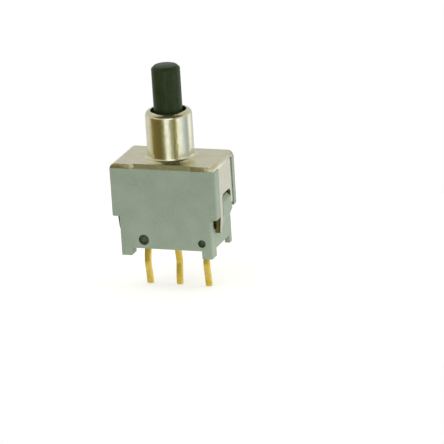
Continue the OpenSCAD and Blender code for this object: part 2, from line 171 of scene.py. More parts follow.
def drawnFrameMetal(s):
    # Nickel-plated brass, deep drawn: bright, a little warm, with fine lines along the draw. The lines are
    # drawn coarser than real ones, to show
    material, tree, shader, place = newMaterial("drawnPlatedBrass")
    lines = grain(tree, place, 0.045, detail=2.0, stretch=(1, 1, 60))
    wear = grain(tree, place, 0.9, detail=4.0, rough=0.6)
    share = addNode(tree, "ShaderNodeMapRange", {0: wear, 1: 0.35, 2: 0.7}).outputs[0]
    base = addNode(tree, "ShaderNodeMix", {0: share, 6: "#ece8d2", 7: "#e2dcc0"}, data_type="RGBA").outputs[2]
    share = addNode(tree, "ShaderNodeMapRange", {0: lines, 1: 0.35, 2: 0.75, 4: 0.35}).outputs[0]
    base = addNode(tree, "ShaderNodeMix", {0: share, 6: base, 7: "#cfc8a6"}, data_type="RGBA").outputs[2]
    x, y, z = addNode(tree, "ShaderNodeSeparateXYZ", {0: place}).outputs

    # The sheared edges at the front and back of the plate are duller than the drawn skin
    away = addNode(tree, "ShaderNodeMath", {0: y}, operation="ABSOLUTE").outputs[0]
    start, end = s["cutEdges"]
    cut = addNode(tree, "ShaderNodeMapRange", {0: away, 1: start * mm, 2: end * mm, 4: 0.1}).outputs[0]
    skin = addNode(tree, "ShaderNodeMapRange", {0: wear, 1: 0.3, 2: 0.7, 3: 0.15, 4: 0.25}).outputs[0]
    dull = addNode(tree, "ShaderNodeMath", {0: skin, 1: cut}, operation="ADD").outputs[0]

    # The legs' narrow faces, which look to the front or back below the plate, get painted shade: a dark olive
    # brass colour standing in for the shade they lie in
    normal = addNode(tree, "ShaderNodeNewGeometry").outputs["True Normal"]
    facing = addNode(tree, "ShaderNodeSeparateXYZ", {0: normal}).outputs["Y"]
    facing = addNode(tree, "ShaderNodeMath", {0: facing}, operation="ABSOLUTE").outputs[0]
    outward = addNode(tree, "ShaderNodeMath", {0: x}, operation="ABSOLUTE").outputs[0]
    narrowFaceShade = 1.0
    for value, key, unit in ((z, "legHeight", mm), (outward, "legOutwards", mm), (facing, "squareOn", 1)):
        start, end = [limit * unit for limit in s[key]]
        share = addNode(tree, "ShaderNodeMapRange", {0: value, 1: start, 2: end}).outputs[0]
        narrowFaceShade = addNode(tree, "ShaderNodeMath", {0: narrowFaceShade, 1: share}, operation="MULTIPLY").outputs[0]
    # Painted shade on the narrow faces
    base = addNode(tree, "ShaderNodeMix", {0: narrowFaceShade, 6: base, 7: "#8a8250"}, data_type="RGBA").outputs[2]

    waves = grain(tree, place, 0.5, detail=3.0, stretch=(1, 1, 1.6))
    bump = addNode(tree, "ShaderNodeBump", {"Height": waves, "Distance": 0.022 * mm}).outputs[0]
    bump = addNode(tree, "ShaderNodeBump", {
        "Height": lines, "Distance": 0.0012 * mm, "Normal": bump}).outputs[0]
    setInputs(tree, shader, {"Base Color": base, "Metallic": 1.0, "Roughness": dull, "Normal": bump})
    return material


def platedTerminal():
    # Gold-flashed copper alloy, stamped: yellow, worn a little browner, with faint lines down the pins
    material, tree, shader, place = newMaterial("goldFlashedStrip")
    wear = grain(tree, place, 0.5, detail=3.0)
    lines = grain(tree, place, 0.08, detail=2.0, stretch=(1, 1, 12))
    share = addNode(tree, "ShaderNodeMapRange", {0: wear, 1: 0.35, 2: 0.7}).outputs[0]
    base = addNode(tree, "ShaderNodeMix", {0: share, 6: "#f2da78", 7: "#dfbf55"}, data_type="RGBA").outputs[2]
    dull = addNode(tree, "ShaderNodeMapRange", {0: wear, 1: 0.3, 2: 0.7, 3: 0.28, 4: 0.40}).outputs[0]
    bump = addNode(tree, "ShaderNodeBump", {"Height": lines, "Distance": 0.002 * mm}).outputs[0]
    setInputs(tree, shader, {"Base Color": base, "Metallic": 1.0, "Roughness": dull, "Normal": bump})
    return material


def darkPlungerPlastic():
    # Black-green nylon, moulded: a satin skin with faint lines along the rod
    material, tree, shader, place = newMaterial("darkNylon")
    lines = grain(tree, place, 0.07, detail=2.0, stretch=(1, 1, 25))
    cloud = grain(tree, place, 0.8, detail=2.0)
    share = addNode(tree, "ShaderNodeMapRange", {0: cloud, 1: 0.35, 2: 0.65}).outputs[0]
    base = addNode(tree, "ShaderNodeMix", {0: share, 6: "#253018", 7: "#2d3820"}, data_type="RGBA").outputs[2]
    share = addNode(tree, "ShaderNodeMapRange", {0: lines, 1: 0.4, 2: 0.75, 4: 0.5}).outputs[0]
    base = addNode(tree, "ShaderNodeMix", {0: share, 6: base, 7: "#3d4a33"}, data_type="RGBA").outputs[2]
    dull = addNode(tree, "ShaderNodeMapRange", {0: lines, 1: 0.3, 2: 0.7, 3: 0.24, 4: 0.36}).outputs[0]
    bump = addNode(tree, "ShaderNodeBump", {"Height": lines, "Distance": 0.003 * mm}).outputs[0]
    setInputs(tree, shader, {
        "Base Color": base, "Roughness": dull, "IOR": 1.53, "Specular IOR Level": 0.12, "Normal": bump})
    return material


def sealRubber():
    # Nitrile rubber, moulded: near black and dull, with a light bloom
    material, tree, shader, place = newMaterial("nitrileRubber")
    bloom = grain(tree, place, 0.3, detail=3.0)
    share = addNode(tree, "ShaderNodeMapRange", {0: bloom, 1: 0.4, 2: 0.75}).outputs[0]
    base = addNode(tree, "ShaderNodeMix", {0: share, 6: "#20201e", 7: "#34342f"}, data_type="RGBA").outputs[2]
    bump = addNode(tree, "ShaderNodeBump", {"Height": bloom, "Distance": 0.004 * mm}).outputs[0]
    setInputs(tree, shader, {"Base Color": base, "Roughness": 0.62, "Normal": bump})
    return material


def pottingResin():
    # Epoxy, poured and cured: dark amber brown, glossy, with a slow ripple
    material, tree, shader, place = newMaterial("pottedEpoxy")
    ripple = grain(tree, place, 0.7, detail=1.0)
    share = addNode(tree, "ShaderNodeMapRange", {0: ripple, 1: 0.35, 2: 0.65}).outputs[0]
    base = addNode(tree, "ShaderNodeMix", {0: share, 6: "#3a3527", 7: "#4a4430"}, data_type="RGBA").outputs[2]
    bump = addNode(tree, "ShaderNodeBump", {"Height": ripple, "Distance": 0.03 * mm}).outputs[0]
    setInputs(tree, shader, {"Base Color": base, "Roughness": 0.16, "IOR": 1.56, "Normal": bump})
    return material


def sliderAcetal():
    # Acetal, moulded: cream, slightly translucent and slippery
    material, tree, shader, place = newMaterial("mouldedAcetal")
    cloud = grain(tree, place, 0.6, detail=2.0)
    share = addNode(tree, "ShaderNodeMapRange", {0: cloud, 1: 0.35, 2: 0.65}).outputs[0]
    base = addNode(tree, "ShaderNodeMix", {0: share, 6: "#cdc7b3", 7: "#d8d2bf"}, data_type="RGBA").outputs[2]
    bump = addNode(tree, "ShaderNodeBump", {"Height": cloud, "Distance": 0.004 * mm}).outputs[0]
    setInputs(tree, shader, {
        "Base Color": base, "Roughness": 0.38, "Subsurface Weight": 0.1, "Subsurface Scale": 0.3 * mm,
        "Normal": bump})
    return material


def contactBronze():
    # Phosphor bronze strip, rolled: brown gold with lines along the rolling
    material, tree, shader, place = newMaterial("rolledBronze")
    lines = grain(tree, place, 0.04, detail=2.0, stretch=(30, 1, 1))
    share = addNode(tree, "ShaderNodeMapRange", {0: lines, 1: 0.35, 2: 0.7}).outputs[0]
    base = addNode(tree, "ShaderNodeMix", {0: share, 6: "#d9a860", 7: "#bf8d48"}, data_type="RGBA").outputs[2]
    bump = addNode(tree, "ShaderNodeBump", {"Height": lines, "Distance": 0.0015 * mm}).outputs[0]
    setInputs(tree, shader, {"Base Color": base, "Metallic": 1.0, "Roughness": 0.3, "Normal": bump})
    return material


def springSteel():
    # Stainless spring wire, drawn: bright grey with a fine mottle
    material, tree, shader, place = newMaterial("stainlessWire")
    mottle = grain(tree, place, 0.05, detail=2.0, stretch=(1, 1, 3))
    share = addNode(tree, "ShaderNodeMapRange", {0: mottle, 1: 0.35, 2: 0.7}).outputs[0]
    base = addNode(tree, "ShaderNodeMix", {0: share, 6: "#d3d4d0", 7: "#b9bab4"}, data_type="RGBA").outputs[2]
    bump = addNode(tree, "ShaderNodeBump", {"Height": mottle, "Distance": 0.001 * mm}).outputs[0]
    setInputs(tree, shader, {"Base Color": base, "Metallic": 1.0, "Roughness": 0.24, "Normal": bump})
    return material


materials = {
    "case": mouldedCasePlastic(),
    "frame": drawnFrameMetal(frameFinishAndShade),
    "terminal": platedTerminal(),
    "plunger": darkPlungerPlastic(),
    "rubber": sealRubber(),
    "resin": pottingResin(),
    "slider": sliderAcetal(),
    "contact": contactBronze(),
    "spring": springSteel(),
}
print("materials made")


# Solid building, in millimetres

# An object from a bmesh.
def newPiece(name, shape):
    mesh = bpy.data.meshes.new(name)
    shape.to_mesh(mesh)
    shape.free()
    piece = bpy.data.objects.new(name, mesh)
    scene.collection.objects.link(piece)
    return piece


# Closed outline pushed along an axis. For "x" the points are (y, z), for "y" (x, z), for "z" (x, y).
def prism(points, along, start, end):
    seat = {
        "x": lambda p, t: (t, p[0], p[1]),
        "y": lambda p, t: (p[0], t, p[1]),
        "z": lambda p, t: (p[0], p[1], t),
    }[along]
    shape = bmesh.new()
    rings = [[shape.verts.new(seat(p, t)) for p in points] for t in (start, end)]
    count = len(points)
    shape.faces.new(rings[0])
    shape.faces.new(rings[1][::-1])
    for i in range(count):
        j = (i + 1) % count
        shape.faces.new((rings[0][i], rings[1][i], rings[1][j], rings[0][j]))
    bmesh.ops.recalc_face_normals(shape, faces=shape.faces)
    return newPiece("prism", shape)


def block(low, high):
    corners = [(low[0], low[1]), (high[0], low[1]), (high[0], high[1]), (low[0], high[1])]
    return prism(corners, "z", low[2], high[2])


# Profile of (radius, height) turned round Z. Points on the axis become poles.
def lathe(profile, segments, closed=False):
    shape = bmesh.new()
    rings = []
    for radius, height in profile:
        if radius < 1e-6:
            rings.append([shape.verts.new((0, 0, height))])
        else:
            rings.append([shape.verts.new((radius * math.cos(a), radius * math.sin(a), height))
                          for a in (2 * math.pi * i / segments for i in range(segments))])
    pairs = list(zip(rings, rings[1:])) + ([(rings[-1], rings[0])] if closed else [])
    for lower, upper in pairs:
        for i in range(segments):
            j = (i + 1) % segments
            corners = [ring[k % len(ring)] for ring, k in ((lower, i), (lower, j), (upper, j), (upper, i))]
            corners = list(dict.fromkeys(corners))
            if len(corners) > 2:
                shape.faces.new(corners)
    bmesh.ops.recalc_face_normals(shape, faces=shape.faces)
    return shape


# Points on an arc, angles in degrees.
def arc(centre, radius, start, end, steps):
    angles = [math.radians(start + (end - start) * i / steps) for i in range(steps + 1)]
    return [(centre[0] + radius * math.cos(angle), centre[1] + radius * math.sin(angle)) for angle in angles]


# The same line with each inner corner rounded off.
def roundCorners(line, reach, steps):
    smooth = [line[0]]
    for before, corner, after in zip(line, line[1:], line[2:]):
        ends = []
        for other in (before, after):
            side = math.dist(corner, other)
            share = min(reach, side / 2) / side
            ends.append([c + share * (o - c) for c, o in zip(corner, other)])
        for i in range(steps + 1):
            t = i / steps
            smooth.append(tuple((1 - t) ** 2 * a + 2 * t * (1 - t) * c + t * t * b
                                for a, c, b in zip(ends[0], corner, ends[1])))
    return smooth + [line[-1]]


# Applies every modifier.
def bake(piece):
    graph = bpy.context.evaluated_depsgraph_get()
    mesh = bpy.data.meshes.new_from_object(piece.evaluated_get(graph))
    piece.modifiers.clear()
    old, piece.data = piece.data, mesh
    bpy.data.meshes.remove(old)


# Joins the tools to the piece, or cuts them out of it.
def combine(piece, tools, operation):
    for tool in tools:
        step = piece.modifiers.new("step", "BOOLEAN")
        step.operation, step.solver, step.object = operation, "EXACT", tool
    bake(piece)
    for tool in tools:
        bpy.data.objects.remove(tool)


# Bevels each outer edge by its share of width, where its faces meet at more than sharpAbove degrees.
def softenEdges(piece, width, weightOf, segments=4, sharpAbove=25):
    mesh = piece.data
    shape = bmesh.new()
    shape.from_mesh(mesh)
    bmesh.ops.remove_doubles(shape, verts=shape.verts, dist=1e-5)
    bmesh.ops.dissolve_limit(shape, angle_limit=math.radians(1), verts=shape.verts, edges=shape.edges)
    layers = shape.edges.layers.float
    layer = layers.get("bevel_weight_edge") or layers.new("bevel_weight_edge")
    for edge in shape.edges:
        bend = math.degrees(edge.calc_face_angle_signed(0))
        middle = (edge.verts[0].co + edge.verts[1].co) / 2
        run = edge.verts[1].co - edge.verts[0].co
        edge[layer] = weightOf(middle, run) if bend > sharpAbove else 0.0
    shape.to_mesh(mesh)
    shape.free()
    bevel = piece.modifiers.new("bevel", "BEVEL")
    bevel.width, bevel.segments, bevel.limit_method = width, segments, "WEIGHT"
    bevel.use_clamp_overlap = True
    bake(piece)


# Whether an edge runs along an axis, 0 to 2.
def runsAlong(run, axis):
    return abs(run[axis]) > 0.9 * run.length


# Gives a drawn piece its name, shading, finish and place on a body.
def finishPiece(piece, name, material, body, nodes=(), smoothAngle=32):
    piece.name = piece.data.name = name
    shape = bmesh.new()
    shape.from_mesh(piece.data)
    bmesh.ops.remove_doubles(shape, verts=shape.verts, dist=1e-5)
    shape.to_mesh(piece.data)
    shape.free()
    piece.data.transform(Matrix.Scale(mm, 4))
    for polygon in piece.data.polygons:
        polygon.use_smooth = True
    piece.data.set_sharp_from_angle(angle=math.radians(smoothAngle))
    weighted = piece.modifiers.new("weighted", "WEIGHTED_NORMAL")
    weighted.keep_sharp = True
    bake(piece)
    piece.data.name = name
    piece.data.materials.clear()
    piece.data.materials.append(materials[material])
    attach(piece, body)
    if nodes:
        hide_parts(*nodes)


# Case

caseSizes = {
    "width": 9.05, "bodyWidth": 7.83, "depth": 4.9, "underside": 0.65, "rim": 7.4, "shoulder": 3.3,
    "frontWall": 1.0, "backWall": 0.65, "cornerRadius": 0.15, "edgeRadius": 0.045,
    "foot": (0.9, 1.1), "backFoot": (0.45, 0.6),            # across, deep
    "chamber": (5.88, 3.2), "floor": 1.9, "ledge": 0.35, "ledgeTop": 7.05,
    "pocket": (-1.8, -0.75, 2.3, 0.5),                      # front, back, low, depth
    "boss": (-0.73, 1.2, 2.1, 4.6),                         # front, back, low, top
    "bossOut": 4.475, "bossLip": 0.05,
    "bossSlope": (1.1, 0.3),                                # heights of its lower and upper slopes
    "shelf": (1.1, 1.45, 3.65),                             # front, back, top
    "marks": ((-1.915, 1.39, 0.425), (3.055, 1.29, 0.31)),  # x, z, radius
    "markDepth": 0.25, "markRim": 0.05, "markSegments": 56, "markFeather": 0.03,
    "resin": (5.8, 1.6, 0.3),                               # across, deep, thick
    "slot": (0.55, 0.25, 0.1, 1.3), "pitch": 2.54,          # width, thickness, y, top
}


def buildCase(s):
    halfWidth, halfBody = s["width"] / 2, s["bodyWidth"] / 2
    front, back = -s["depth"] / 2, s["depth"] / 2
    wallBack, wallFront = front + s["frontWall"], back - s["backWall"]
    overlap, clear, near = 0.2, 1.0, 0.02    # of joined parts, of cuts past the surface, and when comparing
    case = block((-halfBody, front, 0), (halfBody, back, s["shoulder"] + overlap))
    half = [(halfWidth, front), (halfWidth, wallBack), (halfBody, wallBack), (halfBody, wallFront),
            (halfWidth, wallFront), (halfWidth, back)]
    parts = [prism(half + [(-x, y) for x, y in half[::-1]], "z", s["shoulder"], s["rim"])]
    bossFront, bossBack, bossLow, bossTop = s["boss"]
    shelfFront, shelfBack, shelfTop = s["shelf"]
    out, inner = s["bossOut"], halfBody - overlap
    rampLow, rampTop = s["bossSlope"]
    for side in (-1, 1):
        bossFoot = [(inner, bossLow), (halfBody + s["bossLip"], bossLow), (out, bossLow + rampLow)]
        lug = bossFoot + [(out, bossTop - rampTop), (out - rampTop, bossTop), (inner, bossTop)]
        shelf = bossFoot + [(out, shelfTop), (inner, shelfTop)]
        parts.append(prism([(side * x, z) for x, z in lug], "y", bossFront, bossBack))
        parts.append(prism([(side * x, z) for x, z in shelf], "y", shelfFront, shelfBack))
    combine(case, parts, "UNION")
    frontHalf, backHalf = halfBody - s["foot"][0], halfBody - s["backFoot"][0]
    footBack, footFront = front + s["foot"][1], back - s["backFoot"][1]
    combine(case, [
        block((-frontHalf, front - clear, -clear), (frontHalf, overlap, s["underside"])),
        block((-backHalf, 0, -clear), (backHalf, back + clear, s["underside"])),
        block((-halfWidth, footBack, -clear), (halfWidth, footFront, s["underside"])),
    ], "DIFFERENCE")

    # The body's upright corners and the lower ends of the wide walls are rounded most
    def weightOf(middle, run):
        atCorner = abs(middle.x) > halfBody - near and abs(abs(middle.y) - back) < near
        lowEnd = abs(middle.z - s["shoulder"]) < near and abs(middle.x) > halfWidth - near
        return 1.0 if atCorner and runsAlong(run, 2) or lowEnd else s["edgeRadius"] / s["cornerRadius"]

    softenEdges(case, s["cornerRadius"], weightOf)
    cx, cy = s["chamber"][0] / 2, s["chamber"][1] / 2
    rx, ry = s["resin"][0] / 2, s["resin"][1] / 2
    ledge = s["ledge"]
    cuts = [
        block((-cx, -cy, s["floor"]), (cx, cy, s["rim"] + clear)),
        block((-cx - ledge, -cy - ledge, s["ledgeTop"]), (cx + ledge, cy + ledge, s["rim"] + clear)),
        block((-rx, -ry, -clear), (rx, ry, s["underside"] + s["resin"][2])),
    ]
    pocketFront, pocketBack, pocketLow, pocketIn = s["pocket"]
    for side in (-1, 1):
        left, right = sorted((side * (halfBody - pocketIn), side * (halfBody + clear)))
        cuts.append(block((left, pocketFront, pocketLow), (right, pocketBack, s["shoulder"])))
    for x, z, radius in s["marks"]:
        # A blind hole with a slightly rounded mouth
        depth, mouth, outer = s["markDepth"], s["markRim"], radius + s["markRim"]
        profile = [(0, depth), (radius, depth)] + arc((outer, mouth), mouth, 180, 270, 3)
        profile += [(outer, -clear / 2), (0, -clear / 2)]
        tool = newPiece("hole", lathe(profile, s["markSegments"]))
        place = Matrix.Translation((x, front, z)) @ Matrix.Rotation(math.radians(-90), 4, "X")
        tool.data.transform(place)
        cuts.append(tool)
    for i in (-1, 0, 1):
        wide, thick, y, top = s["slot"]
        x = i * s["pitch"]
        cuts.append(block((x - wide / 2, y - thick / 2, 0), (x + wide / 2, y + thick / 2, top)))
    combine(case, cuts, "DIFFERENCE")
    finishPiece(case, "mouldedCase", "case", "body", ["case"])


# The two marks are coloured with painted shade, a dark grey-green standing in for the shadow inside their
# holes, down to the bottom of the holes. Distances are taken with the depth squeezed, so that the painted
# shade covers the hole's floor and wall alike.
def paintMarkShade(material, s):
    tree = material.node_tree
    shader = next(node for node in tree.nodes if node.type == "BSDF_PRINCIPLED")
    base = shader.inputs["Base Color"].links[0].from_socket
    place = addNode(tree, "ShaderNodeTexCoord").outputs["Object"]
    squeeze = 0.2
    flat = addNode(tree, "ShaderNodeMapping", {"Vector": place, "Scale": (1, squeeze, 1)}).outputs["Vector"]
    middle = (s["markDepth"] - s["depth"]) / 2 * squeeze
    share = addNode(tree, "ShaderNodeMapRange", {0: grain(tree, place, 0.12), 1: 0.35, 2: 0.7}).outputs[0]
    # Painted shade for the holes: a dark grey-green with a faint mottle
    markShade = addNode(tree, "ShaderNodeMix", {
        0: share, 6: "#3c4732", 7: "#59644f"}, data_type="RGBA").outputs[2]
    for x, z, radius in s["marks"]:
        centre = (x * mm, middle * mm, z * mm)
        away = addNode(tree, "ShaderNodeVectorMath", {
            0: flat, 1: centre}, operation="DISTANCE").outputs["Value"]
        start, end = radius * mm, (radius + s["markFeather"]) * mm
        bare = addNode(tree, "ShaderNodeMapRange", {0: away, 1: start, 2: end}).outputs[0]
        base = addNode(tree, "ShaderNodeMix", {0: bare, 6: markShade, 7: base}, data_type="RGBA").outputs[2]
    setInputs(tree, shader, {"Base Color": base})


buildCase(caseSizes)
paintMarkShade(materials["case"], caseSizes)
print("case moulded")


# Frame: flat plate, drawn bushing and two forked legs from one sheet

frameSizes = {
    "legOut": 4.445, "sheet": 0.4, "plateTop": 7.8, "bend": 0.45, "depth": 4.9,
    "legFront": -1.40, "legBack": 1.75, "prongEnd": 1.95, "backProngEnd": 3.7,
    "lean": (3.3, 0.11),                           # height it starts from, inwards at the end
    "window": (-0.78, 1.25, 5.0, 0.4),             # front, back, top, corner radius
    "barb": (-1.09, -0.78, 2.43, 3.18, 0.38),      # front, back, low, top, reach
    "notch": (2.5, 0.12, 0.06, 0.04),              # half width, depth, its corners' cut across and in
    "edge": 0.045, "rollover": 0.08,
    "bushing": 1.91, "mouth": 11.8, "wall": 0.44, "lip": 0.42, "root": 0.4, "flare": 0.32,
    "mouthEdge": (0.012, 0.06), "segments": 160,   # the bore's top, and where its edge ends
}


def bushingShape(s):
    top, mouth, outer, bore = s["plateTop"], s["mouth"], s["bushing"], s["bushing"] - s["wall"]
    under, root, lip, flare = top - s["sheet"], s["root"], s["lip"], s["flare"]
    profile = arc((outer + root, top + root), root, 270, 180, 10)
    profile += arc((outer - lip, mouth - lip), lip, 0, 90, 12)
    profile += [(bore, mouth - down) for down in s["mouthEdge"]]
    profile += arc((bore + flare, under + flare), flare, 180, 270, 8)
    profile += [(outer + root, under)]
    return lathe(profile, s["segments"], closed=True)


def buildFrame(s):
    out, sheet, top, bend = s["legOut"], s["sheet"], s["plateTop"], s["bend"]
    under, flat, inside, half = top - sheet, out - bend, out - sheet, s["depth"] / 2
    near, clear, past = 0.01, 1.0, 6.0       # when comparing, of cuts past the sheet, and past both legs
    outer = arc((flat, top - bend), bend, 0, 90, 12)
    inner = arc((flat, top - bend), bend - sheet, 0, 90, 4)
    leanFrom, lean = s["lean"]
    right = [(out - lean, s["prongEnd"]), (out, leanFrom)] + outer
    rightIn = [(inside - lean, s["prongEnd"]), (inside, leanFrom)] + inner
    strap = right + [(-x, z) for x, z in right[::-1]] + [(-x, z) for x, z in rightIn] + rightIn[::-1]
    frameSheet = prism(strap, "y", s["legFront"], s["legBack"])
    ends = [p for p in outer if p[1] > under + near]
    ends = [(flat + math.sqrt(bend ** 2 - (bend - sheet) ** 2), under)] + ends
    plate = prism(ends + [(-x, z) for x, z in ends[::-1]], "y", -half, half)
    barbFront, barbBack, barbLow, barbTop, reach = s["barb"]
    root, tipLow = inside + near, barbLow + 0.2 * (barbTop - barbLow)
    barb = [(root, barbTop), (root, barbLow), (inside - 0.8 * reach, barbLow), (inside - reach, tipLow)]
    barbs = [prism([(side * x, z) for x, z in barb], "y", barbFront, barbBack) for side in (-1, 1)]
    combine(frameSheet, [plate] + barbs, "UNION")
    windowFront, windowBack, windowTop, corner = s["window"]
    gap = [(windowBack, -clear), (windowBack, s["backProngEnd"])]
    gap += arc((windowBack - corner, windowTop - corner), corner, 0, 90, 8)
    gap += arc((windowFront + corner, windowTop - corner), corner, 90, 180, 8) + [(windowFront, -clear)]
    backGap = block((-past, windowBack - near, -clear), (past, s["legBack"] + clear, s["backProngEnd"]))
    notchHalf, notchIn, across, deep = s["notch"]
    notchFront, notchBack = -half - clear, -half + notchIn
    notch = [(notchHalf, notchFront), (notchHalf, notchBack - deep), (notchHalf - across, notchBack)]
    notch = prism([(-x, y) for x, y in notch] + notch[::-1], "z", under - clear, top + clear)
    combine(frameSheet, [prism(gap, "x", -past, past), backGap, notch], "DIFFERENCE")

    # The plate's long upper edges are rolled over more than the rest
    def weightOf(middle, run):
        onTop = middle.z > top - near and abs(middle.x) < flat + near
        return 1.0 if onTop and runsAlong(run, 0) else s["edge"] / s["rollover"]

    softenEdges(frameSheet, s["rollover"], weightOf)
    # The bushing is let into a hole in the plate. The two walls that meet there are taken out and their rims
    # merged, so that one skin is left
    rim = s["bushing"] + s["root"]
    hole = [(0, under - clear), (rim, under - clear), (rim, top + clear), (0, top + clear)]
    combine(frameSheet, [newPiece("hole", lathe(hole, s["segments"]))], "DIFFERENCE")
    shape = bmesh.new()
    shape.from_mesh(frameSheet.data)
    bushing = bushingShape(s)
    drawn = bpy.data.meshes.new("drawn")
    bushing.to_mesh(drawn)
    bushing.free()
    shape.from_mesh(drawn)
    bpy.data.meshes.remove(drawn)
    hidden = []
    for face in shape.faces:
        heights = [v.co.z for v in face.verts]
        onRim = all(abs(math.hypot(v.co.x, v.co.y) - rim) < 1e-3 for v in face.verts)
        if onRim and max(heights) - min(heights) > sheet / 4:
            hidden.append(face)
    bmesh.ops.delete(shape, geom=hidden, context="FACES")
    bmesh.ops.remove_doubles(shape, verts=shape.verts, dist=2e-4)
    shape.to_mesh(frameSheet.data)
    shape.free()
    finishPiece(frameSheet, "drawnFrame", "frame", "body", ["frame"])


buildFrame(frameSizes)
print("frame drawn")


# Plunger

plungerSizes = {
    "rod": 1.17, "tip": 15.5, "chamfer": 0.22, "soft": 0.035,
    "guide": 1.435, "guideTop": 10.9, "guideCut": 0.1,
    "root": (11.86, 1.23),                      # the rod's lower end, and the radius it widens to
    "groove": (9.98, 10.40, 1.07),              # low, top, radius
    "foot": (6.58, 0.45, 4.48, 2.8, 0.3),       # low, thick, across, deep, corner radius
    "tail": (0.4, 1.5), "segments": 128,        # radius, length
}


def buildPlunger(s):
    tip, rod, cut, soft = s["tip"], s["rod"], s["chamfer"], s["soft"]
    guide, guideTop, guideCut = s["guide"], s["guideTop"], s["guideCut"]
    rodEnd, rootRadius = s["root"]
    footLow, footThick, footLong, footDeep, corner = s["foot"]
    grooveLow, grooveTop, grooveIn = s["groove"]
    tailRadius, tailLong = s["tail"]
    profile = [
        (0, tip), (rod - cut - soft, tip), (rod - cut, tip - soft * 0.4),
        (rod - soft * 0.4, tip - cut), (rod, tip - cut - soft), (rod, rodEnd),
        (rootRadius, guideTop), (guide - guideCut, guideTop), (guide, guideTop - guideCut),
        (guide, grooveTop), (grooveIn, grooveTop), (grooveIn, grooveLow), (guide, grooveLow),
        (guide, footLow), (tailRadius, footLow), (tailRadius, footLow - tailLong), (0, footLow - tailLong),
    ]
    rodPiece = newPiece("rod", lathe(profile, s["segments"]))
    x, y = footLong / 2 - corner, footDeep / 2 - corner
    outline = []
    for cx, cy, start in ((x, y, 0), (-x, y, 90), (-x, -y, 180), (x, -y, 270)):
        outline += arc((cx, cy), corner, start, start + 90, 6)
    combine(rodPiece, [prism(outline, "z", footLow, footLow + footThick)], "UNION")
    finishPiece(rodPiece, "plungerRod", "plunger", "button", ["plunger"])


buildPlunger(plungerSizes)
print("plunger made")


# Terminals: one stamped pin, repeated along the row, and the blades inside

terminalSizes = {
    "pitch": 2.54, "count": 3, "row": 0.1, "width": 0.55, "thick": 0.25, "length": 3.2, "kink": 0.28,
    # Share of the kink and height, down the pin
    "path": ((0, 0.1), (-0.35, -0.25), (-1, -1.15), (-1, -1.45), (-0.25, -2.5)),
    "bendReach": 0.22, "bendSteps": 5,
    "tip": (-0.15, 0.2, 0.5),       # share of the kink, straight length, share of the thickness left
    "edge": 0.09, "tipEdge": 0.16,
    "runLow": 1.07,                 # height of the strips under the chamber's floor
    "blade": (1.60, 1.85, 6.70),    # front, back, top
    "change": (5.05, 4.75),         # where the first blade starts and where the last one ends
}


def buildPin(s):
    # Middle line of the pin as (depth offset, height); it bends towards -Y
    half, end = s["thick"] / 2, -s["length"]
    tipShare, tipLong, tipThin = s["tip"]
    path = list(s["path"]) + [(tipShare, end + tipLong), (tipShare, end)]
    line = [(share * s["kink"], z) for share, z in path]
    line = roundCorners(line[:-1], s["bendReach"], s["bendSteps"]) + line[-1:]
    line = [(0, s["runLow"] + s["thick"])] + line
    # The tip tapers
    thin = [half] * (len(line) - 1) + [half * tipThin]
    near = [(y - h, z) for (y, z), h in zip(line, thin)]
    far = [(y + h, z) for (y, z), h in zip(line, thin)]
    pin = prism(near + far[::-1], "x", -s["width"] / 2, s["width"] / 2)

    # The tip's corners are rounded more than the long edges
    def weightOf(middle, run):
        return 1.0 if runsAlong(run, 1) and middle.z < end + 0.05 else s["edge"] / s["tipEdge"]

    softenEdges(pin, s["tipEdge"], weightOf)
    return pin


# A modifier tree with named inputs; returns it, its input node and its output node.
def newGeometryTree(name, inputs):
    tree = bpy.data.node_groups.new(name, "GeometryNodeTree")
    tree.interface.new_socket("Geometry", in_out="INPUT", socket_type="NodeSocketGeometry")
    for key, kind in inputs.items():
        tree.interface.new_socket(key, in_out="INPUT", socket_type="NodeSocket" + kind)
    tree.interface.new_socket("Geometry", in_out="OUTPUT", socket_type="NodeSocketGeometry")
    return tree, addNode(tree, "NodeGroupInput"), addNode(tree, "NodeGroupOutput")


# Puts the tree on the piece, sets its inputs by identifier, and keeps the plain mesh that comes out.
def runTree(piece, tree, values):
    step = piece.modifiers.new(tree.name, "NODES")
    step.node_group = tree
    for item in tree.interface.items_tree:
        if item.in_out == "INPUT" and item.name in values:
            step[item.identifier] = values[item.name]
    bake(piece)


